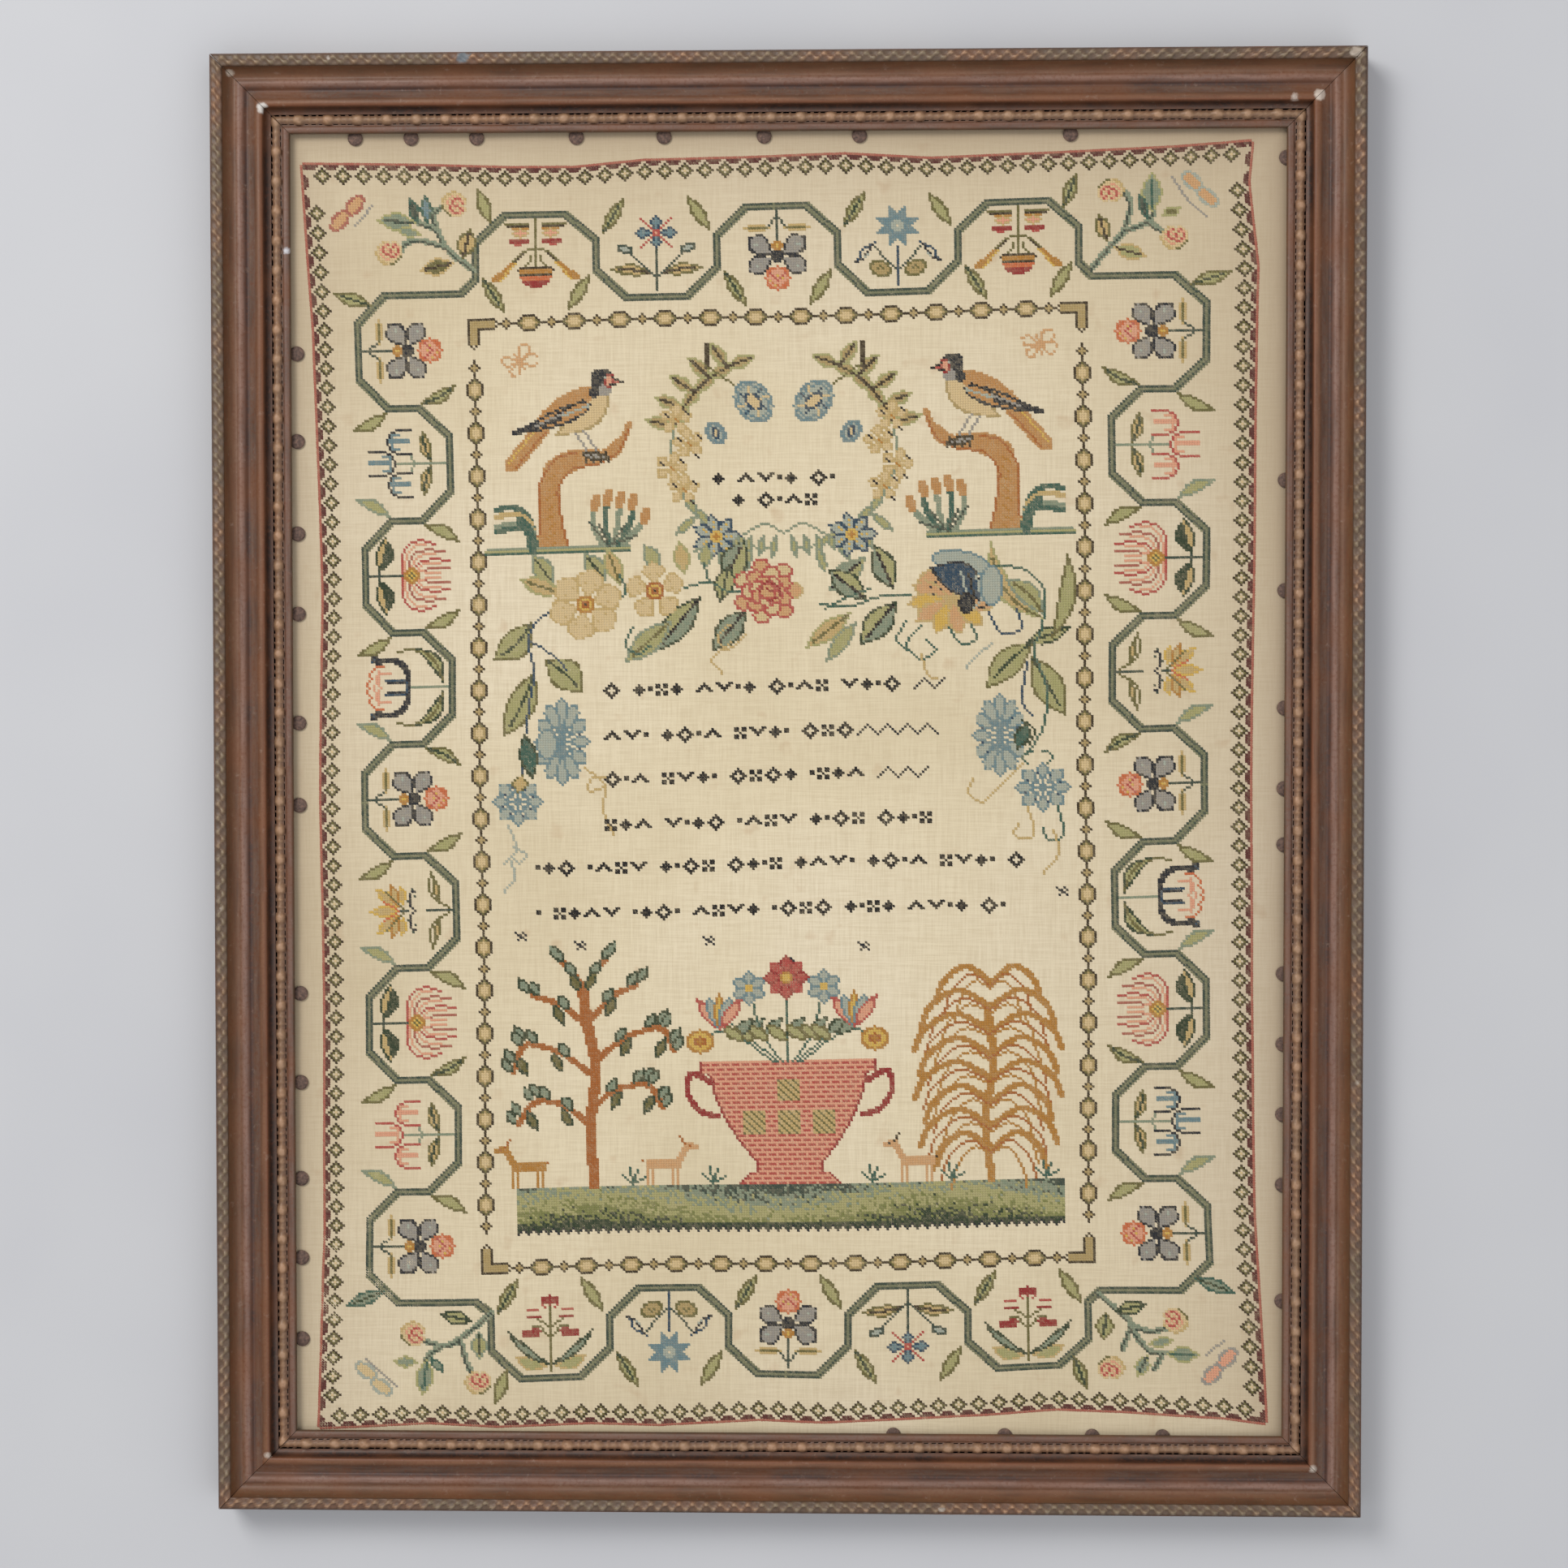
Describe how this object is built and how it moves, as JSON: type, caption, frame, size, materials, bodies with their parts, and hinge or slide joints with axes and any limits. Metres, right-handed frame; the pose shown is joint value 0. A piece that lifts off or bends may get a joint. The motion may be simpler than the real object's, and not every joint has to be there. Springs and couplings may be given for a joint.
{
  "type": "framed cross stitch sampler",
  "caption": "Upright oblong linen sampler in cross stitch, tacked to a board behind a moulded dark wood frame with pressed leaf and bead runs.",
  "frame": {"origin": "centre of the frame's back plane, at the bottom centre of the bounding box", "axes": "+Z out of the picture's face, +Y towards the picture's top edge, +X towards its right-hand side as seen from the front"},
  "size_m": [0.47, 0.598, 0.022],
  "materials": {
    "stained_wood": "worn brown stain over gesso, satin",
    "composition": "pressed composition, browned, with dulled gilt on the high points",
    "linen": "even-weave linen, yellowed, matt, cross stitched in faded silks",
    "backing_board": "bare planed deal",
    "tack_iron": "dull, browned"
  },
  "bodies": {
    "root": {"frame_top": "stained_wood", "frame_bottom": "stained_wood", "frame_left": "stained_wood", "frame_right": "stained_wood", "leaf_strip_top": "composition", "leaf_strip_bottom": "composition", "leaf_strip_left": "composition", "leaf_strip_right": "composition", "bead_strip_top": "composition", "bead_strip_bottom": "composition", "bead_strip_left": "composition", "bead_strip_right": "composition", "linen_ground": "linen", "backing_board": "backing_board", "tack_left_01": "tack_iron", "tack_left_02": "tack_iron", "tack_left_03": "tack_iron", "tack_left_04": "tack_iron", "tack_left_05": "tack_iron", "tack_left_06": "tack_iron", "tack_left_07": "tack_iron", "tack_left_08": "tack_iron", "tack_left_09": "tack_iron", "tack_left_10": "tack_iron", "tack_left_11": "tack_iron", "tack_right_01": "tack_iron", "tack_right_02": "tack_iron", "tack_right_03": "tack_iron", "tack_right_04": "tack_iron", "tack_right_05": "tack_iron", "tack_right_06": "tack_iron", "tack_right_07": "tack_iron", "tack_right_08": "tack_iron", "tack_right_09": "tack_iron", "tack_right_10": "tack_iron", "tack_right_11": "tack_iron", "tack_top_01": "tack_iron", "tack_top_02": "tack_iron", "tack_top_03": "tack_iron", "tack_top_04": "tack_iron", "tack_top_05": "tack_iron", "tack_top_06": "tack_iron", "tack_top_07": "tack_iron", "tack_top_08": "tack_iron", "tack_bottom_01": "tack_iron", "tack_bottom_02": "tack_iron", "tack_bottom_03": "tack_iron", "tack_bottom_04": "tack_iron"}
  },
  "joints": []
}
